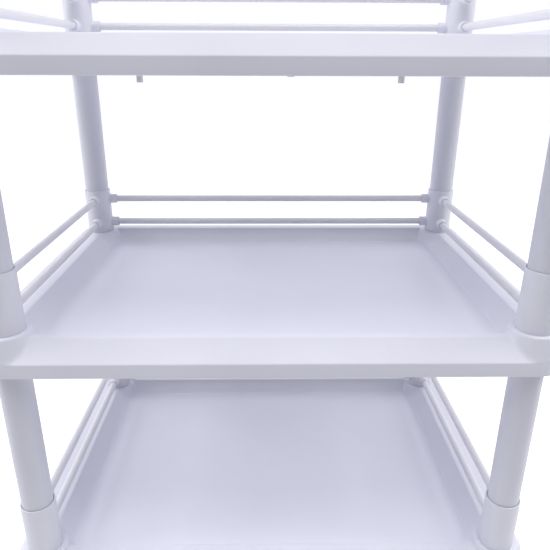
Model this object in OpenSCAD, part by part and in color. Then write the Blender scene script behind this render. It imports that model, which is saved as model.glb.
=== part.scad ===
// Three-tier plastic trolley cart with guard rails and swivel casters.
// Millimetres, +Z up, origin on the floor under the centre of the cart, front towards -Y.

/* [Layout] */
// Distance between the left and right column axes
column_span_x = 486; // [420:2:560]
// Distance between the front and back column axes
column_span_y = 322; // [280:2:380]
// Vertical distance from one tray to the next
tier_pitch = 256; // [220:2:320]
// Height of the lowest tray's boss tops above the floor
first_tier_z = 105; // [105:1:130]

/* [Trays] */
// Distance from a column axis to the tray's outer faces, also the corner radius
tray_margin = 27; // [27:1:32]
// Height of the tray from skirt edge to rim
tray_height = 36; // [34:1:44]
// Depth of the tray floor below the rim
tray_depth = 17; // [14:0.5:19]
// Thickness of the floor and walls
tray_wall = 2.6; // [2.2:0.1:3.2]
// Height of the vertical front face
lip_face = 14; // [10:0.5:16]
// How far the sloped front band leans back
lip_band = 20.5; // [16:0.5:21]
// How far the front edge lies below the rim
lip_drop = 6; // [4:0.5:8]
// Radius of the corner bosses at their tops
boss_r = 21.5; // [20:0.5:22]
// Radius of the corner bosses level with the lip
boss_foot_r = 27.5; // [26:0.5:28]
// Rounding of the rim's outer edge
rim_round = 5; // [2:0.5:5]

/* [Columns and rail joints] */
// Outer radius of a column tube
column_r = 15.5; // [15:0.1:16]
// Inner radius of a column tube
column_bore_r = 12.5; // [12:0.1:13]
// Outer radius of a rail joint
joint_r = 17.25; // [17:0.05:18]
// Height of a rail joint above the tray
joint_height = 59; // [56:1:64]
// Radius of the rail collars on a rail joint
collar_r = 6.7; // [6.2:0.1:7.2]
// How far a rail collar stands out from its rail joint
collar_length = 9.7; // [8:0.1:12]
// Radius of a guard rail
rail_r = 4.3; // [3.8:0.1:4.6]
// Height of the lower guard rail above the tray rim
rail_low_z = 13; // [11:0.5:16]
// Height of the upper guard rail above the tray rim
rail_high_z = 46; // [40:0.5:48]

/* [Casters] */
// Radius of a caster wheel
wheel_r = 25; // [22:0.5:25]
// Width of a caster wheel
wheel_width = 19; // [16:0.5:20]
// Distance from the swivel axis to the wheel axle
caster_trail = 18; // [16:0.5:19]
// Radius of the wheel axle
axle_r = 3; // [2.5:0.1:3]

/* [Hidden] */
$fn = 64;
hx = column_span_x / 2;
hy = column_span_y / 2;
outer_x = column_span_x + 2 * tray_margin;
outer_y = column_span_y + 2 * tray_margin;
gap = 0.1;
eps = 0.02;
far = 400;
tier_z = [first_tier_z, first_tier_z + tier_pitch, first_tier_z + 2 * tier_pitch];
boss_bore_r = column_bore_r + gap;
boss_socket_r = column_r + 0.15;
boss_socket_top = -22;
spigot_r = column_bore_r - 0.15;
spigot_bottom = -34;
ledge_z = 4;
side_top = 4;
side_foot = 20;
back_top = -9;
back_foot = 4;
front_top = 3.5;
front_foot = 7;
rail_end = joint_r + 0.8;
seat_depth = joint_r + 0.4;
rib_height = 6;
rib_wall = 2.2;
rib_clear = 0.5;
skirt_wall = 2.8;
flange_r = 20;
flange_t = 4;
pin_r = 5.5;
bead_r = 6.2;
run = 0.05;
fork_top = first_tier_z - tray_height - flange_t - 0.5;
fork_base = wheel_r * 2 + 1;
fork_r = 16;
pin_bottom = fork_base + 2.5;
cheek_in = wheel_width / 2 + 1.2;
cheek_t = 3;
cheek_out = cheek_in + cheek_t;
pivot_y = caster_trail + 10;
pivot_z = wheel_r * 2 + 4;
trunnion_r = 2;
peg_r = 3.3;
peg_x = 137.5;
peg_bottom = -48;
nub_x = 21;

// ---------- tray ----------

// Half of a rim's section, from the middle out to its rounded edge
module rim_section(half) {
  union() {
    translate([0, -tray_height])
      square([half, tray_height - rim_round]);
    translate([0, -tray_height])
      square([half - rim_round, tray_height]);
    translate([half - rim_round, -rim_round])
      circle(r = rim_round);
  }
}

module plate() {
  union() {
    for (turn = [0, 180])
      rotate([90, 0, turn])
        translate([0, 0, -hy])
          linear_extrude(height = 2 * hy)
            rim_section(outer_x / 2);
    for (turn = [90, -90])
      rotate([90, 0, turn])
        translate([0, 0, -hx])
          linear_extrude(height = 2 * hx)
            rim_section(outer_y / 2);
    at_corners(0)
      rotate_extrude()
        rim_section(tray_margin);
  }
}

module rounded_plate(x, y, r, z0, z1) {
  translate([0, 0, z0])
    linear_extrude(height = z1 - z0)
      union() {
        square([x - 2 * r, y], center = true);
        square([x, y - 2 * r], center = true);
        for (sx = [-1, 1], sy = [-1, 1])
          translate([sx * (x / 2 - r), sy * (y / 2 - r)])
            circle(r = r);
      }
}

// A prism along Y whose two sides lean in towards the floor
module wedge_x(top, foot, depth, rise) {
  s = (foot - top) / depth;
  a = top - s * rise;
  rotate([90, 0, 0])
    translate([0, 0, -far])
      linear_extrude(height = 2 * far)
        polygon([[-a, rise], [a, rise], [foot, -depth], [-foot, -depth]]);
}

// A prism along X with its own front and back walls
module wedge_y(front_t, front_f, back_t, back_f, depth, rise) {
  sf = (front_f - front_t) / depth;
  sb = (back_f - back_t) / depth;
  rotate([90, 0, 90])
    translate([0, 0, -far])
      linear_extrude(height = 2 * far)
        polygon([
          [front_t - sf * rise, rise],
          [back_t - sb * rise, rise],
          [back_f, -depth],
          [front_f, -depth]
        ]);
}

// The bowl of the tray, between four leaning walls
module bowl(grow, depth, rise) {
  intersection() {
    wedge_x(hx - side_top + grow, hx - side_foot + grow, depth, rise);
    wedge_y(-hy + front_top - grow, -hy + front_foot - grow,
            hy - back_top + grow, hy - back_foot + grow, depth, rise);
  }
}

module at_corners(z) {
  for (sx = [-1, 1], sy = [-1, 1])
    translate([sx * hx, sy * hy, z])
      children();
}

// The corner bosses, drafted from the level of the lip face up past the rim
module bosses() {
  drop = tray_height - lip_face;
  past = drop / 4;
  draft = (boss_foot_r - boss_r) / drop;
  at_corners(-drop)
    cylinder(r1 = boss_foot_r, r2 = boss_r - draft * past, h = drop + past);
}

// The front edge between the bosses: vertical face, sloped band, narrow top
module front_cut() {
  face_z = -tray_height + lip_face;
  difference() {
    translate([-hx, -hy, 0])
      rotate([90, 0, 90])
        linear_extrude(height = 2 * hx)
          polygon([
            [-tray_margin - 5, face_z],
            [-tray_margin, face_z],
            [-tray_margin + lip_band, -lip_drop],
            [9, -lip_drop],
            [9, 5],
            [-tray_margin - 5, 5]
          ]);
    bosses();
  }
}

// The hollow under the tray, open downwards
module underside() {
  face_z = -tray_height + lip_face;
  difference() {
    rounded_plate(outer_x - 2 * skirt_wall, outer_y - 2 * skirt_wall,
                  tray_margin - skirt_wall, -tray_height - 1, -tray_wall);
    bowl(tray_wall, tray_depth + tray_wall, 3);
    at_corners(-tray_height - 2)
      cylinder(r = boss_r - 1, h = tray_height + 2);
    translate([-far, -hy, 0])
      rotate([90, 0, 90])
        linear_extrude(height = 2 * far)
          polygon([
            [-tray_margin - 5, face_z - 1],
            [-tray_margin + skirt_wall, face_z - 1],
            [-tray_margin + lip_band + 1, -lip_drop - 3.4],
            [20, -lip_drop - 3.4],
            [20, 5],
            [-tray_margin - 5, 5]
          ]);
    ribs();
  }
}

module ribs() {
  top = -tray_depth - tray_wall;
  for (x = [-hx / 2, 0, hx / 2])
    translate([x - rib_wall / 2, -hy + rib_clear, top - rib_height])
      cube([rib_wall, 2 * hy - 2 * rib_clear, rib_height + 1]);
  for (y = [-hy / 2.5, hy / 2.5])
    translate([-hx + rib_clear, y - rib_wall / 2, top - rib_height])
      cube([2 * hx - 2 * rib_clear, rib_wall, rib_height + 1]);
}

module tray(z) {
  color([0.86, 0.86, 0.90])
    translate([0, 0, z])
      difference() {
        plate();
        difference() {
          bowl(0, tray_depth, 5);
          bosses();
        }
        front_cut();
        underside();
        at_corners(-tray_height - 1)
          cylinder(r = boss_bore_r, h = tray_height + 2);
        at_corners(-tray_height - 1)
          cylinder(r = boss_socket_r, h = tray_height + 1 + boss_socket_top);
      }
}

module tray_bottom() tray(tier_z[0]);
module tray_middle() tray(tier_z[1]);
module tray_top() tray(tier_z[2]);

// ---------- columns and rail joints ----------

module column(x, y, tier) {
  bottom = tier_z[tier] + ledge_z + gap;
  top = tier_z[tier + 1] + boss_socket_top - gap;
  color([0.80, 0.80, 0.86])
    translate([x, y, bottom])
      difference() {
        cylinder(r = column_r, h = top - bottom);
        translate([0, 0, -1])
          cylinder(r = column_bore_r, h = top - bottom + 2);
      }
}

module column_lower_fl() column(-hx, -hy, 0);
module column_lower_fr() column(hx, -hy, 0);
module column_lower_bl() column(-hx, hy, 0);
module column_lower_br() column(hx, hy, 0);
module column_upper_fl() column(-hx, -hy, 1);
module column_upper_fr() column(hx, -hy, 1);
module column_upper_bl() column(-hx, hy, 1);
module column_upper_br() column(hx, hy, 1);

module collar(angle, z) {
  rotate([0, 0, angle])
    translate([0, 0, z])
      rotate([0, 90, 0])
        cylinder(r = collar_r, h = joint_r + collar_length);
}

module seat(angle, z) {
  rotate([0, 0, angle])
    translate([seat_depth, 0, z])
      rotate([0, 90, 0])
        cylinder(r = rail_r + gap, h = collar_length + 5);
}

// A sleeve that takes the column above and plugs into the boss below
module rail_joint(x, y, z, angles) {
  color([0.83, 0.83, 0.88])
    translate([x, y, z])
      difference() {
        union() {
          cylinder(r = joint_r, h = joint_height);
          translate([0, 0, spigot_bottom])
            cylinder(r = spigot_r, h = 1 - spigot_bottom);
          for (a = angles, level = [rail_low_z, rail_high_z])
            collar(a, level);
        }
        translate([0, 0, ledge_z])
          cylinder(r = column_r + 0.15, h = joint_height);
        translate([0, 0, spigot_bottom - 1])
          cylinder(r = spigot_r - 2.4, h = 60);
        for (a = angles, level = [rail_low_z, rail_high_z])
          seat(a, level);
      }
}

module joint_bottom_fl() rail_joint(-hx, -hy, tier_z[0], [90]);
module joint_bottom_fr() rail_joint(hx, -hy, tier_z[0], [90]);
module joint_bottom_bl() rail_joint(-hx, hy, tier_z[0], [0, -90]);
module joint_bottom_br() rail_joint(hx, hy, tier_z[0], [180, -90]);
module joint_middle_fl() rail_joint(-hx, -hy, tier_z[1], [90]);
module joint_middle_fr() rail_joint(hx, -hy, tier_z[1], [90]);
module joint_middle_bl() rail_joint(-hx, hy, tier_z[1], [0, -90]);
module joint_middle_br() rail_joint(hx, hy, tier_z[1], [180, -90]);
module joint_top_fl() rail_joint(-hx, -hy, tier_z[2], [90]);
module joint_top_fr() rail_joint(hx, -hy, tier_z[2], [90]);
module joint_top_bl() rail_joint(-hx, hy, tier_z[2], [0, -90]);
module joint_top_br() rail_joint(hx, hy, tier_z[2], [180, -90]);

// ---------- guard rails ----------

module back_rail(tier, level) {
  half = hx - rail_end;
  color([0.84, 0.84, 0.88])
    translate([-half, hy, tier_z[tier] + level])
      rotate([0, 90, 0])
        cylinder(r = rail_r, h = 2 * half);
}

module side_rail(side, tier, level) {
  half = hy - rail_end;
  color([0.84, 0.84, 0.88])
    translate([side * hx, half, tier_z[tier] + level])
      rotate([90, 0, 0])
        cylinder(r = rail_r, h = 2 * half);
}

module rail_bottom_back_low() back_rail(0, rail_low_z);
module rail_bottom_back_high() back_rail(0, rail_high_z);
module rail_bottom_left_low() side_rail(-1, 0, rail_low_z);
module rail_bottom_left_high() side_rail(-1, 0, rail_high_z);
module rail_bottom_right_low() side_rail(1, 0, rail_low_z);
module rail_bottom_right_high() side_rail(1, 0, rail_high_z);
module rail_middle_back_low() back_rail(1, rail_low_z);
module rail_middle_back_high() back_rail(1, rail_high_z);
module rail_middle_left_low() side_rail(-1, 1, rail_low_z);
module rail_middle_left_high() side_rail(-1, 1, rail_high_z);
module rail_middle_right_low() side_rail(1, 1, rail_low_z);
module rail_middle_right_high() side_rail(1, 1, rail_high_z);
module rail_top_back_low() back_rail(2, rail_low_z);
module rail_top_back_high() back_rail(2, rail_high_z);
module rail_top_left_low() side_rail(-1, 2, rail_low_z);
module rail_top_left_high() side_rail(-1, 2, rail_high_z);
module rail_top_right_low() side_rail(1, 2, rail_low_z);
module rail_top_right_high() side_rail(1, 2, rail_high_z);

// ---------- caps, pegs and caster sockets ----------

// Domed plugs that close the four top rail joints
module column_caps() {
  crown = 7;
  ball = (joint_r * joint_r + crown * crown) / (2 * crown);
  color([0.86, 0.86, 0.90])
    at_corners(tier_z[2] + joint_height + gap)
      union() {
        intersection() {
          cylinder(r = joint_r, h = crown);
          translate([0, 0, crown - ball])
            sphere(r = ball, $fn = 96);
        }
        translate([0, 0, -12])
          cylinder(r = column_r, h = 12 + eps);
      }
}

// Pegs that hang under the top tray
module hanger_pegs() {
  top = -tray_depth - tray_wall;
  color([0.62, 0.62, 0.64])
    for (sx = [-1, 1])
      translate([sx * peg_x, 0, tier_z[2] + peg_bottom])
        union() {
          cylinder(r = peg_r, h = top - peg_bottom);
          translate([0, 0, top - peg_bottom - 3])
            cylinder(r = peg_r + 3, h = 3);
        }
}

module drawer_stop() {
  top = -tray_depth - tray_wall;
  color([0.62, 0.62, 0.64])
    translate([nub_x, 0, tier_z[2] - 42])
      union() {
        cylinder(r = peg_r + 0.6, h = 42 + top);
        translate([0, 0, 42 + top - 3])
          cylinder(r = peg_r + 3, h = 3);
      }
}

// Plugs pressed into the lowest bosses, each with a fixed swivel pin
module caster_sockets() {
  under = first_tier_z - tray_height;
  color([0.55, 0.55, 0.57])
    at_corners(0)
      difference() {
        union() {
          translate([0, 0, under - flange_t])
            cylinder(r = flange_r, h = flange_t);
          translate([0, 0, under - 1])
            cylinder(r = column_r, h = 1 + tray_height + boss_socket_top - gap);
          translate([0, 0, pin_bottom])
            cylinder(r = pin_r, h = under - 1 - pin_bottom);
          translate([0, 0, pin_bottom + 1.2])
            cylinder(r = bead_r, h = 2);
        }
        translate([0, 0, under + 1])
          cylinder(r = column_bore_r, h = 40);
      }
}

// ---------- casters ----------

// Places a caster part: every caster trails towards the middle of the cart
module caster_at(x, y) {
  translate([x, y, 0])
    rotate([0, 0, y < 0 ? 0 : 180])
      children();
}

module across(y, z, r, half) {
  translate([-half, y, z])
    rotate([0, 90, 0])
      cylinder(r = r, h = 2 * half);
}

module fork(x, y, braked) {
  color([0.70, 0.70, 0.73])
    caster_at(x, y)
      difference() {
        union() {
          translate([0, 0, fork_base])
            cylinder(r = fork_r, h = fork_top - fork_base);
          translate([-cheek_out, -4, fork_base])
            cube([2 * cheek_out, 18, 5]);
          for (side = [-cheek_out, cheek_in])
            translate([side, 0, 0])
              rotate([90, 0, 90])
                linear_extrude(height = cheek_t)
                  union() {
                    polygon([
                      [-11, fork_top - 3],
                      [-11, fork_base],
                      [caster_trail - 6.9, wheel_r - 4],
                      [caster_trail + 7.4, wheel_r + 3],
                      [pivot_y + 5, pivot_z - 1],
                      [pivot_y + 1, pivot_z + 5],
                      [12, fork_top - 3]
                    ]);
                    translate([caster_trail, wheel_r])
                      circle(r = 8);
                    translate([pivot_y, pivot_z])
                      circle(r = 5.1);
                  }
        }
        translate([0, 0, pin_bottom - 0.6])
          cylinder(r = pin_r + run, h = 30);
        translate([0, 0, pin_bottom + 0.9])
          cylinder(r = bead_r + run + 0.05, h = 2.6);
        across(caster_trail, wheel_r, axle_r + 0.02, cheek_out + 1);
        if (braked)
          across(pivot_y, pivot_z, trunnion_r + run, cheek_out + 1);
      }
}

module wheel(x, y) {
  w = wheel_width / 2;
  round_r = 4;
  color([0.32, 0.32, 0.34])
    caster_at(x, y)
      translate([0, caster_trail, wheel_r])
        rotate([0, 90, 0])
          difference() {
            rotate_extrude($fn = 96)
              union() {
                polygon([
                  [axle_r + run, -w - 0.8],
                  [6.5, -w - 0.8],
                  [6.5, -w + 3.5],
                  [wheel_r - 7, -w + 3.5],
                  [wheel_r - 7, -w],
                  [wheel_r - round_r, -w],
                  [wheel_r - round_r, w],
                  [wheel_r - 7, w],
                  [wheel_r - 7, w - 3.5],
                  [6.5, w - 3.5],
                  [6.5, w + 0.8],
                  [axle_r + run, w + 0.8]
                ]);
                translate([wheel_r - round_r - 1, -w + round_r])
                  square([round_r + 1, 2 * w - 2 * round_r]);
                for (s = [-1, 1])
                  translate([wheel_r - round_r, s * (w - round_r)])
                    circle(r = round_r);
              }
            for (a = [0 : 60 : 300])
              rotate([0, 0, a])
                translate([12.2, 0, -w])
                  cylinder(r = 2.6, h = 2 * w);
          }
}

module axle(x, y) {
  color([0.75, 0.75, 0.77])
    caster_at(x, y)
      union() {
        across(caster_trail, wheel_r, axle_r, cheek_out + 0.2);
        for (s = [-1, 1])
          translate([s * (cheek_out + 0.9), caster_trail, wheel_r])
            rotate([0, 90, 0])
              cylinder(r = axle_r + 1.6, h = 1.6, center = true);
      }
}

// Foot lever: rests up, tips down until its pad nearly meets the tread
module pedal(x, y) {
  half = cheek_in - 0.4;
  color([0.45, 0.45, 0.47])
    caster_at(x, y)
      union() {
        across(pivot_y, pivot_z, trunnion_r, cheek_out + 0.4);
        across(pivot_y, pivot_z, 3.4, half);
        translate([-half, pivot_y, pivot_z])
          rotate([90, 0, 90])
            linear_extrude(height = 2 * half)
              polygon([
                [0, -3.2],
                [4.5, -5.5],
                [8.5, -5.5],
                [10, -2.4],
                [27, -4.4],
                [27, 0.2],
                [24, 1.4],
                [0, 3.4]
              ]);
      }
}

module fork_fl() fork(-hx, -hy, true);
module fork_fr() fork(hx, -hy, true);
module fork_bl() fork(-hx, hy, false);
module fork_br() fork(hx, hy, false);
module wheel_fl() wheel(-hx, -hy);
module wheel_fr() wheel(hx, -hy);
module wheel_bl() wheel(-hx, hy);
module wheel_br() wheel(hx, hy);
module axle_fl() axle(-hx, -hy);
module axle_fr() axle(hx, -hy);
module axle_bl() axle(-hx, hy);
module axle_br() axle(hx, hy);
module pedal_fl() pedal(-hx, -hy);
module pedal_fr() pedal(hx, -hy);

tray_bottom();
tray_middle();
tray_top();
column_lower_fl();
column_lower_fr();
column_lower_bl();
column_lower_br();
column_upper_fl();
column_upper_fr();
column_upper_bl();
column_upper_br();
joint_bottom_fl();
joint_bottom_fr();
joint_bottom_bl();
joint_bottom_br();
joint_middle_fl();
joint_middle_fr();
joint_middle_bl();
joint_middle_br();
joint_top_fl();
joint_top_fr();
joint_top_bl();
joint_top_br();
rail_bottom_back_low();
rail_bottom_back_high();
rail_bottom_left_low();
rail_bottom_left_high();
rail_bottom_right_low();
rail_bottom_right_high();
rail_middle_back_low();
rail_middle_back_high();
rail_middle_left_low();
rail_middle_left_high();
rail_middle_right_low();
rail_middle_right_high();
rail_top_back_low();
rail_top_back_high();
rail_top_left_low();
rail_top_left_high();
rail_top_right_low();
rail_top_right_high();
column_caps();
caster_sockets();
hanger_pegs();
drawer_stop();
fork_fl();
fork_fr();
fork_bl();
fork_br();
wheel_fl();
wheel_fr();
wheel_bl();
wheel_br();
axle_fl();
axle_fr();
axle_bl();
axle_br();
pedal_fl();
pedal_fr();
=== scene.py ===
import math

import bmesh
import bpy
import numpy as np
from mathutils import Matrix, Vector, geometry


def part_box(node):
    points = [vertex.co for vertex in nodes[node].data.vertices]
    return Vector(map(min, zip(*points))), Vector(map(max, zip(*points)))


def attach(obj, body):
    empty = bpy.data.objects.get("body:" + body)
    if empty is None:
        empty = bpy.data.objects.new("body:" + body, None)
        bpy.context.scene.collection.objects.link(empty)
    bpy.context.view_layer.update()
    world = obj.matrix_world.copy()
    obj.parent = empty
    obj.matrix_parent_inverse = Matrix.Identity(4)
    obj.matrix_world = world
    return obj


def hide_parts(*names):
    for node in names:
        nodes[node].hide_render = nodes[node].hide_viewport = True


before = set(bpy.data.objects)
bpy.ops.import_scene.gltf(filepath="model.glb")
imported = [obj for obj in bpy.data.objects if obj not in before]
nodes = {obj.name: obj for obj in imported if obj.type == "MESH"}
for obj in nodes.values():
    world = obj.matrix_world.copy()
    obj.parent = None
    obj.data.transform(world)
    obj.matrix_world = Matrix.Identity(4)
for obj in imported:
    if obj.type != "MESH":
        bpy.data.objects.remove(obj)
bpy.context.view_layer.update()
scene = bpy.context.scene

# ---------- camera ----------

# Metres, radians, and millimetres for the lens and the sensor.
CAMERA_AT = (-0.0053, -0.6273, 0.5934)
CAMERA_PITCH = -0.3672
CAMERA_YAW = -0.0165
CAMERA_ROLL = 0.0039
CAMERA_LENS = 36.94
SENSOR_WIDTH = 36.0
NEAREST, FARTHEST = 0.01, 50.0

camera_data = bpy.data.cameras.new("camera")
camera_data.lens = CAMERA_LENS
camera_data.sensor_width = SENSOR_WIDTH
camera_data.clip_start = NEAREST
camera_data.clip_end = FARTHEST
camera = bpy.data.objects.new("camera", camera_data)
turn = (
    Matrix.Rotation(CAMERA_YAW, 4, "Z")
    @ Matrix.Rotation(math.pi / 2 + CAMERA_PITCH, 4, "X")
    @ Matrix.Rotation(CAMERA_ROLL, 4, "Z")
)
camera.matrix_world = Matrix.Translation(CAMERA_AT) @ turn
scene.collection.objects.link(camera)
scene.camera = camera
scene.view_settings.view_transform = "Standard"

# ---------- materials ----------

# Each noise: its scale, in bumps to the metre, and its detail. Then the span that a noise
# mostly keeps to, and the share of the colour and of the gloss that it moves.
DRIFT_NOISE = (6.0, 3.0)
GLOSS_NOISE = (35.0, 4.0)
GRAIN_DETAIL = 2.0
NOISE_SPAN = (0.3, 0.7)
DRIFT = 0.05
GLOSS_DRIFT = 0.15
# Grain: bumps to the metre, and their depth in metres.
MOULDED = (900.0, 0.00002)
PAINTED = (900.0, 0.00001)
PLATED = (900.0, 0.000006)
NYLON = (700.0, 0.00003)
RUBBER = (500.0, 0.00004)
ZINC = (2000.0, 0.00001)


def link(tree, output, socket):
    """Joins a node's output to another node's input."""
    tree.links.new(output, socket)


def map_range(tree, value, edges, ends, curve="SMOOTHSTEP"):
    """A value moved from one span to another, whose ends may be other values."""
    node = tree.nodes.new("ShaderNodeMapRange")
    node.interpolation_type = curve
    node.inputs["From Min"].default_value, node.inputs["From Max"].default_value = edges
    for key, end in zip(("To Min", "To Max"), ends):
        if isinstance(end, float):
            node.inputs[key].default_value = end
        else:
            link(tree, end, node.inputs[key])
    link(tree, value, node.inputs["Value"])
    return node.outputs["Result"]


def noise(tree, coords, scale, detail):
    """A noise's value at the coordinates."""
    node = tree.nodes.new("ShaderNodeTexNoise")
    node.inputs["Scale"].default_value = scale
    node.inputs["Detail"].default_value = detail
    link(tree, coords, node.inputs["Vector"])
    return node.outputs["Fac"]


def uneven(tree, coords, kind, low, high):
    """A value that wanders over the surface between two ends."""
    return map_range(tree, noise(tree, coords, *kind), NOISE_SPAN, (low, high), "LINEAR")


def coated(name, colour, rough, grain, metallic=0.0):
    """A moulded or coated surface: slow colour drift, uneven gloss and a fine grain."""
    mat = bpy.data.materials.new(name)
    mat.use_nodes = True
    tree = mat.node_tree
    shader = tree.nodes["Principled BSDF"]
    coords = tree.nodes.new("ShaderNodeTexCoord").outputs["Object"]
    tint = tree.nodes.new("ShaderNodeMix")
    tint.data_type = "RGBA"
    tint.blend_type = "MULTIPLY"
    tint.inputs["Factor"].default_value = 1.0
    tint.inputs["A"].default_value = (*colour, 1.0)
    link(tree, uneven(tree, coords, DRIFT_NOISE, 1.0 - DRIFT, 1.0), tint.inputs["B"])
    link(tree, tint.outputs["Result"], shader.inputs["Base Color"])
    ends = (rough * (1 - GLOSS_DRIFT), rough * (1 + GLOSS_DRIFT))
    link(tree, uneven(tree, coords, GLOSS_NOISE, *ends), shader.inputs["Roughness"])
    shader.inputs["Metallic"].default_value = metallic
    bumps, depth = grain
    bump = tree.nodes.new("ShaderNodeBump")
    bump.inputs["Strength"].default_value = 1.0
    bump.inputs["Distance"].default_value = depth
    link(tree, noise(tree, coords, bumps, GRAIN_DETAIL), bump.inputs["Height"])
    link(tree, bump.outputs["Normal"], shader.inputs["Normal"])
    return mat


materials = {
    "tray": coated("tray_plastic", (0.81, 0.815, 0.89), 0.38, MOULDED),
    "joint": coated("joint_plastic", (0.80, 0.805, 0.875), 0.42, MOULDED),
    "column": coated("column_coat", (0.72, 0.725, 0.795), 0.40, PAINTED),
    "rail": coated("rail_coat", (0.825, 0.825, 0.86), 0.36, PLATED),
    "peg": coated("peg_plastic", (0.72, 0.71, 0.70), 0.5, MOULDED),
    "caster": coated("caster_nylon", (0.50, 0.50, 0.53), 0.45, NYLON),
    "hub": coated("hub_nylon", (0.55, 0.55, 0.58), 0.42, NYLON),
    "pedal": coated("pedal_nylon", (0.20, 0.20, 0.22), 0.5, NYLON),
    "tread": coated("wheel_rubber", (0.10, 0.10, 0.11), 0.6, RUBBER),
    "axle": coated("axle_zinc", (0.6, 0.6, 0.62), 0.3, ZINC, metallic=1.0),
}
# The start of a CAD node's name, and its material.
FAMILIES = {
    "tray": "tray",
    "joint": "joint",
    "column_caps": "joint",
    "column": "column",
    "rail": "rail",
    "hanger": "peg",
    "drawer": "peg",
    "caster": "caster",
    "fork": "caster",
    "pedal": "pedal",
    "wheel": "tread",
    "axle": "axle",
}

for name, obj in nodes.items():
    starts = [start for start in FAMILIES if name.startswith(start)]
    obj.data.materials.clear()
    obj.data.materials.append(materials[FAMILIES[max(starts, key=len)]])

# ---------- mesh tools ----------

MM = 0.001
TURNS = 96
SHARP_ANGLE = 38


def circle(count):
    """Evenly spaced directions round a full turn, from the X axis on."""
    angles = [2 * math.pi * i / count for i in range(count)]
    return [(math.cos(angle), math.sin(angle)) for angle in angles]


class Shell:
    """Millimetre points and faces, gathered ring by ring."""

    def __init__(self):
        self.verts, self.faces = [], []

    def ring(self, points):
        """Adds points and gives their indices."""
        start = len(self.verts)
        self.verts.extend(points)
        return list(range(start, len(self.verts)))

    def bridge(self, first, second):
        """Quads between two rings of as many points."""
        count = len(first)
        for i in range(count):
            j = (i + 1) % count
            self.faces.append((first[i], first[j], second[j], second[i]))

    def tube(self, sections):
        """Rings joined one to the next, and the last to the first."""
        rings = [self.ring(section) for section in sections]
        for first, second in zip(rings, rings[1:] + rings[:1]):
            self.bridge(first, second)

    def bar(self, sections):
        """Rings joined one to the next, and closed at both ends."""
        rings = [self.ring(section) for section in sections]
        for first, second in zip(rings, rings[1:]):
            self.bridge(first, second)
        self.faces += [tuple(rings[0]), tuple(rings[-1])]


def lathe(shell, profile):
    """Turns a closed profile of (radius, height) about Z."""
    way = circle(TURNS)
    shell.tube([[(radius * c, radius * s, level) for c, s in way] for radius, level in profile])


def make_mesh(name, shell, material):
    """A mesh in metres from a shell, its closed parts facing outwards."""
    mesh = bpy.data.meshes.new(name)
    points = [(a * MM, b * MM, c * MM) for a, b, c in shell.verts]
    mesh.from_pydata(points, [], shell.faces)
    solid = bmesh.new()
    solid.from_mesh(mesh)
    bmesh.ops.recalc_face_normals(solid, faces=solid.faces)
    solid.to_mesh(mesh)
    solid.free()
    mesh.shade_smooth()
    mesh.set_sharp_from_angle(angle=math.radians(SHARP_ANGLE))
    mesh.materials.append(materials[material])
    return mesh


def place(name, mesh, at, body, replaced):
    """A piece at a point in metres, in the stead of one CAD node."""
    obj = bpy.data.objects.new(name, mesh)
    obj.location = at
    scene.collection.objects.link(obj)
    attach(obj, body)
    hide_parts(replaced)


# ---------- trays ----------

# A tray's own millimetres: the origin lies between its bosses, level with their tops.
# The boss centres, and how far past them the outline runs, which is also its corner radius.
HALF_X, HALF_Y = 243.0, 161.0
MARGIN = 27.0
# Heights of the floor, the lip's top edge, the top of the vertical face and the skirt's foot.
FLOOR_Z = -17.0
LIP_Z = -6.0
FACE_Z = -22.0
SKIRT_Z = -36.0
# Wall thicknesses, and the rounds over the side rim and over the face.
WALL = 2.6
SKIRT_WALL = 2.8
RIM_ROUND = 5.0
FACE_ROUND = 2.2
# A boss at its top, its bore, the socket for the column below, and the core round both.
BOSS_R = 21.5
BORE_R = 12.6
SOCKET_R = 15.65
CORE_R = 20.5
# Each wall: how far inside the boss centres its foot lies, and its rise over its run.
SIDE_FOOT, SIDE_SLOPE = 20.0, 17 / 16
BACK_FOOT, BACK_SLOPE = 4.0, 17 / 13
LIP_FOOT, LIP_SLOPE = 7.0, 11 / 3.5
BOSS_SLOPE = 22.0 / 6.0
BAND_SLOPE = (LIP_Z - FACE_Z) / 20.5
# Fillets: crisp edges, boss to side wall, boss to lip, boss top, walls to floor, and what
# the last one gains towards the lip, over a span of Y.
CRISP = 1.2
BOSS_BLEND = 9.0
BOSS_LIP_BLEND = 2.5
TOP_ROUND = 1.0
FLOOR_ROUND = 0.9
LIP_FLOOR_ROUND = 5.0
LIP_FLOOR_SPAN = (-168.0, -136.0)
# Heights between which the skin is looked for, and how often the span is halved.
SEARCH = (-60.0, 4.0)
HALVINGS = 40
# Rows of points in plan: (start, end, spacing), closer where the skin bends.
ROWS_X = ((0, 204, 12), (204, 217, 3), (217, 230, 1), (230, 236, 1.5), (236, 242, 0.6),
          (242, 264.6, 3.7))
ROWS_Y = ((-186.4, -170, 3), (-170, -165, 0.5), (-165, -160, 2), (-160, -150, 0.5),
          (-150, -140, 2), (-140, 148, 12), (148, 163, 0.8), (163, 168, 1.2),
          (168, 172, 0.6), (172, 182.6, 3))
# Rows that round over the rim, and those over the face, with the angle that they turn.
RIM_ROWS = 8
FACE_ROWS, FACE_ARC = 6, 0.95
# Radii of the rings of points round each bore: on the boss, then round the corner's rim on
# the outward side, and out to where the rows take over on the others.
BORE_RINGS = [BORE_R, 15, 17.3, 19.2]
BOSS_RINGS = (20.2, 27, 0.5)
BOSS_RING_LIMIT = 25.9
RIM_RING_FROM = 25.6
WALL_RINGS = ((26, 30, 0.5), (30, 34.2, 0.9))
RING_REACH = 34.7
# The strip inside the outline where rows stand in for rings, its width where the rim is
# rounded and elsewhere, and how far short of the boss centres' lines it ends.
ROW_STRIP = (RIM_ROUND + 0.05, 1.3)
RING_STRIP = (RIM_ROUND + 0.1, 1.4)
STRIP_SHORT = 0.9
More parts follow.
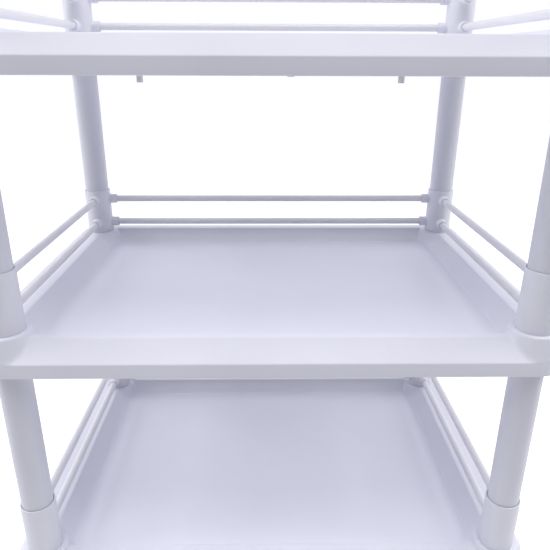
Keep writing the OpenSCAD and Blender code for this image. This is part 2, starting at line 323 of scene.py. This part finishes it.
# How far the inner skin's points keep from the skirt and from the cores round the sockets.
SKIRT_CLEAR = 0.5
CORE_CLEAR = 0.3
# The skirt from its rounded rim down, round its foot and up inside: (inset, height).
SKIRT = ((0, -30.0), (0, -35.1), (0.12, -35.55), (0.45, -35.88), (0.9, SKIRT_Z),
         (1.9, SKIRT_Z), (2.5, -35.8), (SKIRT_WALL, -35.2))
# The bore down through a boss, then the socket below it: (radius, height).
BORE = ((BORE_R, -21.6), (BORE_R + 0.4, -22.0), (SOCKET_R, -22.0), (SOCKET_R, -35.4),
        (SOCKET_R + 0.6, SKIRT_Z), (CORE_R - 0.6, SKIRT_Z), (CORE_R, -35.4))
# The ribs under the floor: (height, half thickness), where their ends lie, and their places.
UNDERSIDE = FLOOR_Z - WALL
RIB = ((UNDERSIDE + 0.6, 1.3), (UNDERSIDE - 5.6, 0.85), (UNDERSIDE - 6.0, 0.5))
RIB_ENDS_X, RIB_ENDS_Y = (-216.0, 216.0), (-148.0, 150.0)
RIBS_X, RIBS_Y = (-HALF_X / 2, 0.0, HALF_X / 2), (-HALF_Y / 2.5, HALF_Y / 2.5)
# Distances that count as none: on an edge, between two points, and for a sum's rounding.
ON_EDGE = 1e-4
SAME_POINT = 1e-6
TINY = 1e-9
CORNER_SIGNS = ((-1, -1), (-1, 1), (1, -1), (1, 1))


def soft_min(a, b, k):
    """The lesser of two values, rounded over where they lie within k."""
    h = np.maximum(k - np.abs(a - b), 0.0) / k
    return np.minimum(a, b) - h * h * k / 4


def soft_max(a, b, k):
    """The greater of two values, rounded over where they lie within k."""
    return -soft_min(-a, -b, k)


def smooth(value, low, high):
    """A step from zero to one that eases in and out."""
    t = np.clip((value - low) / (high - low), 0.0, 1.0)
    return t * t * (3 - 2 * t)


def plane(z, run, rise, slope):
    """Signed distance to a slope that passes z = rise where run is zero."""
    return (z - (run * slope + rise)) / math.sqrt(1 + slope * slope)


def tray_field(x, y, z):
    """Signed distance from the tray's upper skin, below it negative."""
    ax = np.abs(x)
    reach = np.hypot(ax - HALF_X, np.abs(y) - HALF_Y)
    boss = plane(z, BOSS_R - reach, 0.0, BOSS_SLOPE)
    side = plane(z, ax - (HALF_X - SIDE_FOOT), FLOOR_Z, SIDE_SLOPE)
    back = plane(z, y - (HALF_Y - BACK_FOOT), FLOOR_Z, BACK_SLOPE)
    front = plane(z, -(HALF_Y - LIP_FOOT) - y, FLOOR_Z, LIP_SLOPE)
    front = soft_max(front, z - LIP_Z, CRISP)
    skin = soft_min(side, boss, BOSS_BLEND)
    skin = soft_min(skin, back, CRISP)
    foot = FLOOR_ROUND + LIP_FLOOR_ROUND * (1 - smooth(y, *LIP_FLOOR_SPAN))
    skin = soft_min(skin, z - FLOOR_Z, foot)
    skin = soft_min(skin, front, CRISP)
    inset = y + HALF_Y + MARGIN
    lean = math.sqrt(1 + BAND_SLOPE * BAND_SLOPE)
    bend = FACE_ROUND * (1 - BAND_SLOPE / lean)
    round_z = FACE_Z + FACE_ROUND * (BAND_SLOPE - lean)
    arc = np.sqrt(np.maximum(FACE_ROUND**2 - (FACE_ROUND - inset) ** 2, 0))
    band = np.where(inset < bend, round_z + arc, FACE_Z + inset * BAND_SLOPE)
    between = ax <= HALF_X + ON_EDGE
    skin = np.where(between, soft_max(skin, (z - band) / lean, CRISP), skin)
    skin = soft_min(skin, boss, BOSS_LIP_BLEND)
    return soft_max(skin, z, TOP_ROUND)


def solve(x, y, level):
    """The height at which the field reaches a level over each point."""
    low, high = (np.full_like(x, end) for end in SEARCH)
    for _ in range(HALVINGS):
        mid = (low + high) / 2
        above = tray_field(x, y, mid) > level
        high = np.where(above, mid, high)
        low = np.where(above, low, mid)
    return (low + high) / 2


def edge_inset(x, y):
    """How far inside the tray's rounded outline each point lies."""
    ax = np.abs(x) - HALF_X
    ay = np.abs(y) - HALF_Y
    corner = MARGIN - np.hypot(np.maximum(ax, 0), np.maximum(ay, 0))
    return np.where((ax > 0) & (ay > 0), corner, MARGIN - np.maximum(ax, ay))


def tray_height(x, y, level):
    """Height of the skin, or of the surface a wall below it."""
    z = solve(x, y, level)
    inset = edge_inset(x, y)
    rim_arc = np.sqrt(np.maximum(RIM_ROUND**2 - (RIM_ROUND - inset) ** 2, 0))
    rim = np.where(inset < RIM_ROUND, rim_arc - RIM_ROUND, 0.0) + level
    ax = np.abs(x) - HALF_X
    ay = -HALF_Y - y
    reach = np.hypot(ax, ay)
    nose = solve(np.full_like(x, HALF_X), -HALF_Y - reach, level)
    turned = smooth(np.arctan2(ax, ay), 0.0, math.pi / 2)
    outer = (ax > 0) & (ay >= 0)
    z = np.where(outer, nose * (1 - turned) + rim * turned, z)
    capped = (ay < 0) & (inset < RIM_ROUND)
    return np.where(capped, np.minimum(z, rim), z)


def stops(*runs):
    """Evenly spaced values along each run, without its end."""
    values = []
    for start, end, step in runs:
        count = max(1, round((end - start) / step))
        values += [start + (end - start) * i / count for i in range(count)]
    return values


def edge_offsets(radius, span, count):
    """Insets of the rows that round over an edge."""
    return [radius * (1 - math.cos(span * i / count)) for i in range(count + 1)]


# Distances from a boss centre to the rows that round over the rim.
RIM_RADII = [MARGIN - o for o in reversed(edge_offsets(RIM_ROUND, math.pi / 2, RIM_ROWS))]


def corner_reach(x, y):
    """Distance in plan from the nearest boss centre."""
    return math.hypot(abs(x) - HALF_X, abs(y) - HALF_Y)


def row_points():
    """Points in straight rows, kept clear of the corners' rings."""
    face = edge_offsets(FACE_ROUND, FACE_ARC, FACE_ROWS)
    half = stops(*ROWS_X) + [HALF_X + r for r in RIM_RADII]
    xs = sorted({-v for v in half} | set(half))
    ys = [-HALF_Y - MARGIN + o for o in face] + stops(*ROWS_Y)
    ys += [HALF_Y + r for r in RIM_RADII]
    points = []
    for x in xs:
        for y in ys:
            ax, ay = abs(x) - HALF_X, abs(y) - HALF_Y
            if min(ax, ay) > 0:
                continue
            strip = ROW_STRIP[0] if y > 0 or ax > ay else ROW_STRIP[1]
            on_edge = MARGIN - max(ax, ay) < strip and min(ax, ay) < -STRIP_SHORT
            if math.hypot(ax, ay) > RING_REACH or on_edge:
                points.append((x, y))
    return points


def ring_points():
    """Points in rings round each bore, out to the rounded rim of each corner."""
    boss = [r for r in BORE_RINGS + stops(BOSS_RINGS) if r < BOSS_RING_LIMIT]
    rim = [r for r in RIM_RADII if r > RIM_RING_FROM]
    points = []
    for sx, sy in CORNER_SIGNS:
        for c, s in circle(TURNS):
            outward = min(c, s) > -TINY
            for r in boss + (rim if outward else stops(*WALL_RINGS)):
                ax, ay = c * r, s * r
                strip = RING_STRIP[0] if sy > 0 or ax > ay else RING_STRIP[1]
                if outward or MARGIN - max(ax, ay) >= strip:
                    points.append((sx * (HALF_X + ax), sy * (HALF_Y + ay)))
    return points


def fan(points, hole):
    """Triangles over the points in plan, facing up, with none across a hole."""
    on_hole = [abs(corner_reach(*p) - hole) < ON_EDGE for p in points]
    flat = [Vector(p) for p in points]
    verts, _, faces, origins, _, _ = geometry.delaunay_2d_cdt(flat, [], [], 0, SAME_POINT)
    if len(verts) != len(points):
        raise ValueError("two tray points coincide")
    order = [source[0] for source in origins]
    result = []
    for face in faces:
        a, b, c = (order[i] for i in face)
        (ax, ay), (bx, by), (cx, cy) = points[a], points[b], points[c]
        area = (bx - ax) * (cy - ay) - (cx - ax) * (by - ay)
        if abs(area) > TINY and not (on_hole[a] and on_hole[b] and on_hole[c]):
            result.append((a, b, c) if area > 0 else (a, c, b))
    return result


def moved_in(point, offset):
    """A point of the outline moved inwards across it."""
    px, py = point
    ax, ay = abs(px) - HALF_X, abs(py) - HALF_Y
    if min(ax, ay) > -SAME_POINT:
        scale = (MARGIN - offset) / MARGIN
        qx, qy = HALF_X + ax * scale, HALF_Y + ay * scale
    elif ax > ay:
        qx, qy = abs(px) - offset, abs(py)
    else:
        qx, qy = abs(px), abs(py) - offset
    return math.copysign(qx, px), math.copysign(qy, py)


def bearing(point, centre):
    """Angle of a point round a centre, from zero up to a full turn."""
    return math.atan2(point[1] - centre[1], point[0] - centre[0]) % (2 * math.pi)


def add_skirt(shell, rim):
    """The skirt's rings below the rim, the last of them its inner top."""
    last = rim
    for offset, level in SKIRT:
        ring = shell.ring([(*moved_in(shell.verts[i][:2], offset), level) for i in rim])
        shell.bridge(ring, last)
        last = ring
    return last


def add_bore(shell, top, core, centre):
    """A bore and its socket, from the boss's top down to the core in the inner skin."""

    def turned(i):
        """How far round the centre a point lies, with a full turn counted as none."""
        return round(bearing(shell.verts[i], centre), 6) % round(2 * math.pi, 6)

    last = sorted(top, key=turned)
    angles = [bearing(shell.verts[i], centre) for i in last]
    for radius, level in BORE:
        ring = shell.ring([
            (centre[0] + radius * math.cos(a), centre[1] + radius * math.sin(a), level)
            for a in angles
        ])
        shell.bridge(last, ring)
        last = ring
    shell.bridge(last, sorted(core, key=turned))


def add_ribs(shell):
    """Stiffening ribs under the floor, three along and two across."""
    (west, east), (front, rear) = RIB_ENDS_X, RIB_ENDS_Y
    for x in RIBS_X:
        shell.bar([
            [(x + half, front, level), (x - half, front, level),
             (x - half, rear, level), (x + half, rear, level)]
            for level, half in RIB
        ])
    for y in RIBS_Y:
        shell.bar([
            [(west, y + half, level), (west, y - half, level),
             (east, y - half, level), (east, y + half, level)]
            for level, half in RIB
        ])


def build_tray_mesh():
    """One closed skin: the tray's top, its skirt, its inner skin and its bores; and ribs."""
    shell = Shell()
    plan = row_points() + ring_points()
    x, y = np.array(plan).T
    shell.ring(list(zip(x, y, tray_height(x, y, 0.0))))
    shell.faces += fan(plan, BORE_R)
    insets = edge_inset(x, y)
    rim = [i for i in range(len(plan)) if insets[i] < ON_EDGE]
    rim.sort(key=lambda i: math.atan2(plan[i][1], plan[i][0]))
    skirt_top = add_skirt(shell, rim)
    under = [moved_in(plan[i], SKIRT_WALL) for i in rim]
    for p, inset in zip(plan, insets):
        if inset > SKIRT_WALL + SKIRT_CLEAR and corner_reach(*p) > CORE_R + CORE_CLEAR:
            under.append(p)
    cores = len(under)
    for sx, sy in CORNER_SIGNS:
        under += [(sx * HALF_X + CORE_R * c, sy * HALF_Y + CORE_R * s) for c, s in circle(TURNS)]
    x, y = np.array(under).T
    inner = shell.ring(list(zip(x, y, tray_height(x, y, -WALL))))
    shell.faces += [(inner[a], inner[c], inner[b]) for a, b, c in fan(under, CORE_R)]
    shell.bridge(inner[:len(rim)], skirt_top)
    for k, (sx, sy) in enumerate(CORNER_SIGNS):
        top = [
            i for i, p in enumerate(plan)
            if abs(corner_reach(*p) - BORE_R) < ON_EDGE and p[0] * sx > 0 and p[1] * sy > 0
        ]
        core = inner[cores + k * TURNS:cores + (k + 1) * TURNS]
        add_bore(shell, top, core, (sx * HALF_X, sy * HALF_Y))
    add_ribs(shell)
    return make_mesh("tray_shell", shell, "tray")


# Height of each tray's boss tops.
TIERS = {tier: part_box("tray_" + tier)[1][2] for tier in ("bottom", "middle", "top")}
tray_mesh = build_tray_mesh()
for tier, level in TIERS.items():
    at = (0.0, 0.0, level)
    place("tray_shell_" + tier, tray_mesh, at, "cart", "tray_" + tier)

# ---------- rail joints ----------

# Millimetres from the boss's top. The sleeve, the column that stands in it, and the spigot
# that plugs through the boss into the column below.
JOINT_R = 17.25
JOINT_TOP = 59.0
TUBE_R = 15.65
SPIGOT_R = 9.95
SPIGOT_OUTER_R = 12.35
SPIGOT_END = -34.0
# The collars that hold the rails, and their heights.
COLLAR_R = 6.35
COLLAR_END = 26.6
COLLAR_TURNS = 48
RAIL_SOCKET_R = 4.45
RAIL_LEVELS = (13.0, 46.0)
# The sleeve from its spigot's shoulder, up its outside, over its rim and down inside.
SLEEVE = [
    (SPIGOT_OUTER_R, 0.05), (16.7, 0.05), (17.1, 0.2), (JOINT_R, 0.55), (JOINT_R, 20.0),
    (JOINT_R, 40.0), (JOINT_R, JOINT_TOP - 0.7), (17.15, JOINT_TOP - 0.3),
    (16.85, JOINT_TOP - 0.05), (16.5, JOINT_TOP), (16.3, JOINT_TOP), (16.05, JOINT_TOP - 0.15),
    (15.95, JOINT_TOP - 0.6), (15.9, JOINT_TOP - 2.6), (TUBE_R, JOINT_TOP - 3.0), (TUBE_R, 4.0),
    (SPIGOT_R, 4.0), (SPIGOT_R, SPIGOT_END), (11.8, SPIGOT_END), (SPIGOT_OUTER_R, -33.3),
]
# A collar's root and the bottom of its socket, rings that hug the sleeve: (radius, rise
# above the sleeve's side).
COLLAR_ROOT = [(8.0, -0.12), (7.4, 0.1), (6.9, 0.45), (6.5, 1.0), (COLLAR_R, 1.7)]
COLLAR_BOTTOM = [(RAIL_SOCKET_R, -0.9), (7.4, -0.9)]
# Its mouth, flat rings: (radius, distance from the joint's middle).
COLLAR_MOUTH = [
    (COLLAR_R, COLLAR_END - 0.9), (COLLAR_R - 0.12, COLLAR_END - 0.4),
    (COLLAR_R - 0.45, COLLAR_END - 0.1), (COLLAR_R - 0.9, COLLAR_END),
    (RAIL_SOCKET_R + 0.25, COLLAR_END), (RAIL_SOCKET_R, COLLAR_END - 0.3),
]


def collar(shell, arm, level):
    """A short rail socket that flows out of the sleeve along one arm's direction."""
    way = circle(COLLAR_TURNS)

    def ring(radius, distance):
        """A round section whose points lie at a distance that depends on their side step."""
        section = []
        for c, s in way:
            side, out = radius * c, distance(radius * c)
            spot = (arm[0] * out - arm[1] * side, arm[1] * out + arm[0] * side)
            section.append((*spot, level + radius * s))
        return section

    def hugging(radius, rise):
        """A round section that follows the sleeve's side."""
        return ring(radius, lambda side: math.sqrt(JOINT_R**2 - side**2) + rise)

    sections = [hugging(*row) for row in COLLAR_ROOT]
    sections += [ring(radius, lambda side: out) for radius, out in COLLAR_MOUTH]
    sections += [hugging(*row) for row in COLLAR_BOTTOM]
    shell.tube(sections)


# Each corner: its sides across and front to back, and the arms that hold rails.
CORNERS = {
    "fl": (-1, -1, [(0, 1)]),
    "fr": (1, -1, [(0, 1)]),
    "bl": (-1, 1, [(0, -1), (1, 0)]),
    "br": (1, 1, [(0, -1), (-1, 0)]),
}
for corner, (sx, sy, arms) in CORNERS.items():
    joint = Shell()
    lathe(joint, SLEEVE)
    for arm in arms:
        for rail_level in RAIL_LEVELS:
            collar(joint, arm, rail_level)
    joint_mesh = make_mesh("joint_shell_" + corner, joint, "joint")
    for tier, level in TIERS.items():
        at = (sx * HALF_X * MM, sy * HALF_Y * MM, level)
        ending = tier + "_" + corner
        place("sleeve_" + ending, joint_mesh, at, "cart", "joint_" + ending)

# ---------- wheels ----------

WHEEL_R = 25.0
SPOKES = 6
# Closed outlines of (radius, distance along the axle).
TYRE = [
    (19.6, -8.4), (22.2, -9.0), (23.6, -8.6), (24.5, -7.6), (24.9, -6.2), (WHEEL_R, -4.0),
    (WHEEL_R, -1.0), (24.75, -0.55), (24.75, 0.55), (WHEEL_R, 1.0), (WHEEL_R, 4.0),
    (24.9, 6.2), (24.5, 7.6), (23.6, 8.6), (22.2, 9.0), (19.6, 8.4),
]
HUB = [
    (3.2, -9.2), (5.6, -9.2), (6.2, -8.8), (6.6, -4.4), (7.4, -3.6), (16.2, -3.0),
    (17.2, -3.8), (17.6, -7.6), (18.2, -8.3), (19.7, -8.3), (19.9, -7.9), (19.9, 7.9),
    (19.7, 8.3), (18.2, 8.3), (17.6, 7.6), (17.2, 3.8), (16.2, 3.0), (7.4, 3.6), (6.6, 4.4),
    (6.2, 8.8), (5.6, 9.2), (3.2, 9.2),
]
# A spoke's two ends: (distance from the axle, half thickness, half width).
SPOKE = ((6.0, 1.1, 7.6), (17.6, 0.9, 6.4))


def wheel_mesh(name, outline, material, spokes=()):
    """A wheel part turned about the X axis, which the axles lie on."""
    shell = Shell()
    lathe(shell, outline)
    for c, s in spokes:
        shell.bar([
            [(c * along - s * across, s * along + c * across, up)
             for across, up in ((-half, -side), (half, -side), (half, side), (-half, side))]
            for along, half, side in SPOKE
        ])
    shell.verts = [(z, x, y) for x, y, z in shell.verts]
    return make_mesh(name, shell, material)


tyre_mesh = wheel_mesh("tyre_shell", TYRE, "tread")
hub_mesh = wheel_mesh("hub_shell", HUB, "hub", circle(SPOKES))
for corner in CORNERS:
    wheel = "wheel_" + corner
    centre = [(a + b) / 2 for a, b in zip(*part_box(wheel))]
    body = "roller_" + corner
    place("tyre_" + corner, tyre_mesh, centre, body, wheel)
    place("hub_" + corner, hub_mesh, centre, body, wheel)

# ---------- stage and light ----------

FLOOR_SIZE = 12.0
FLOOR_ROUGH = 0.9
# Painted shade and painted light: the floor's colour darkens and its glow fades from the back of
# the cart to the front, in metres along Y, so that the floor throws less light onto the cart's
# front.
FLOOR_SHADE_SPAN = (-0.5, -0.15)
FLOOR_PALE = (0.7, 0.9)
FLOOR_GLOW = (0.0, 0.2)
# What the camera itself sees of the floor and the sky, both white.
FLOOR_PALE_SEEN = 0.9
FLOOR_GLOW_SEEN = 0.4
SKY_SEEN = 1.0
UNSEEN_TO_SEEN = (0.0, 1.0)
# The sky's brightness by direction, and where one part of it blends into the next.
SKY_COLOUR = (1.0, 1.0, 1.12)
SKY_BACK = 0.58
SKY_BACK_HIGH = 0.85
SKY_FRONT = 0.13
SKY_LEFT = 1.15
SKY_RIGHT = 0.8
SKY_TOP = (0.95, 0.5)
LEFT_EDGE, RIGHT_EDGE = (-0.95, -0.5), (0.5, 0.95)
BACK_RISE = (0.05, 0.35)
FRONT_TO_BACK = (-0.35, 0.15)
TOP_FRONT_TO_BACK = (-0.2, 0.2)
SIDES_TO_TOP = (0.45, 0.85)
# Softboxes: where each one is, where it points, its size in metres and its watts.
SOFTBOX_COLOUR = (1.0, 0.99, 0.955)
SOFTBOXES = {
    "top_front": ((0, -1.0, 4.0), (0, -0.1, 0.5), (2.8, 2.1), 46.0),
    "side_left": ((-1.5, 0.0, 1.35), (0, 0, 0.45), (1.4, 1.0), 12.0),
    "side_right": ((1.5, 0.0, 1.35), (0, 0, 0.45), (1.4, 1.0), 10.5),
}


def axis_value(tree, coords, axis):
    """One axis of the coordinates."""
    split = tree.nodes.new("ShaderNodeSeparateXYZ")
    link(tree, coords, split.inputs["Vector"])
    return split.outputs[axis]


def camera_ray(tree):
    """One where the camera itself looks, and zero for light that bounces."""
    return tree.nodes.new("ShaderNodeLightPath").outputs["Is Camera Ray"]


floor_mesh = bpy.data.meshes.new("floor")
end = FLOOR_SIZE / 2
floor_mesh.from_pydata(
    [(-end, -end, 0), (end, -end, 0), (end, end, 0), (-end, end, 0)], [], [(0, 1, 2, 3)]
)
floor = bpy.data.objects.new("floor", floor_mesh)
scene.collection.objects.link(floor)
floor_mat = bpy.data.materials.new("floor_painted_light")
floor_mat.use_nodes = True
tree = floor_mat.node_tree
shader = tree.nodes["Principled BSDF"]
depth = axis_value(tree, tree.nodes.new("ShaderNodeTexCoord").outputs["Object"], "Y")
ray = camera_ray(tree)
# Painted shade: for bounced light, the floor's colour is darker towards the front of the cart.
pale = map_range(tree, depth, FLOOR_SHADE_SPAN, FLOOR_PALE)
pale = map_range(tree, ray, UNSEEN_TO_SEEN, (pale, FLOOR_PALE_SEEN))
link(tree, pale, shader.inputs["Base Color"])
shader.inputs["Roughness"].default_value = FLOOR_ROUGH
shader.inputs["Emission Color"].default_value = (1, 1, 1, 1)
# Painted light: for bounced light, the floor glows, more towards the back of the cart.
glow = map_range(tree, depth, FLOOR_SHADE_SPAN, FLOOR_GLOW)
glow = map_range(tree, ray, UNSEEN_TO_SEEN, (glow, FLOOR_GLOW_SEEN))
link(tree, glow, shader.inputs["Emission Strength"])
floor_mesh.materials.append(floor_mat)

world = bpy.data.worlds.new("studio")
world.use_nodes = True
scene.world = world
sky = world.node_tree
direction = sky.nodes.new("ShaderNodeTexCoord").outputs["Generated"]
across, depth, height = (axis_value(sky, direction, axis) for axis in "XYZ")
sides = map_range(sky, across, RIGHT_EDGE, (SKY_BACK, SKY_RIGHT))
sides = map_range(sky, across, LEFT_EDGE, (SKY_LEFT, sides))
sides = map_range(sky, height, BACK_RISE, (sides, SKY_BACK_HIGH))
around = map_range(sky, depth, FRONT_TO_BACK, (SKY_FRONT, sides))
overhead = map_range(sky, depth, TOP_FRONT_TO_BACK, SKY_TOP)
strength = map_range(sky, height, SIDES_TO_TOP, (around, overhead))
strength = map_range(sky, camera_ray(sky), UNSEEN_TO_SEEN, (strength, SKY_SEEN))
background = sky.nodes["Background"]
background.inputs["Color"].default_value = (*SKY_COLOUR, 1)
link(sky, strength, background.inputs["Strength"])

for name, (at, aim, size, power) in SOFTBOXES.items():
    light = bpy.data.lights.new(name, "AREA")
    light.color = SOFTBOX_COLOUR
    light.shape = "RECTANGLE"
    light.size, light.size_y = size
    light.energy = power
    lamp = bpy.data.objects.new(name, light)
    lamp.location = at
    lamp.rotation_mode = "QUATERNION"
    lamp.rotation_quaternion = (Vector(aim) - Vector(at)).to_track_quat("-Z", "Y")
    scene.collection.objects.link(lamp)
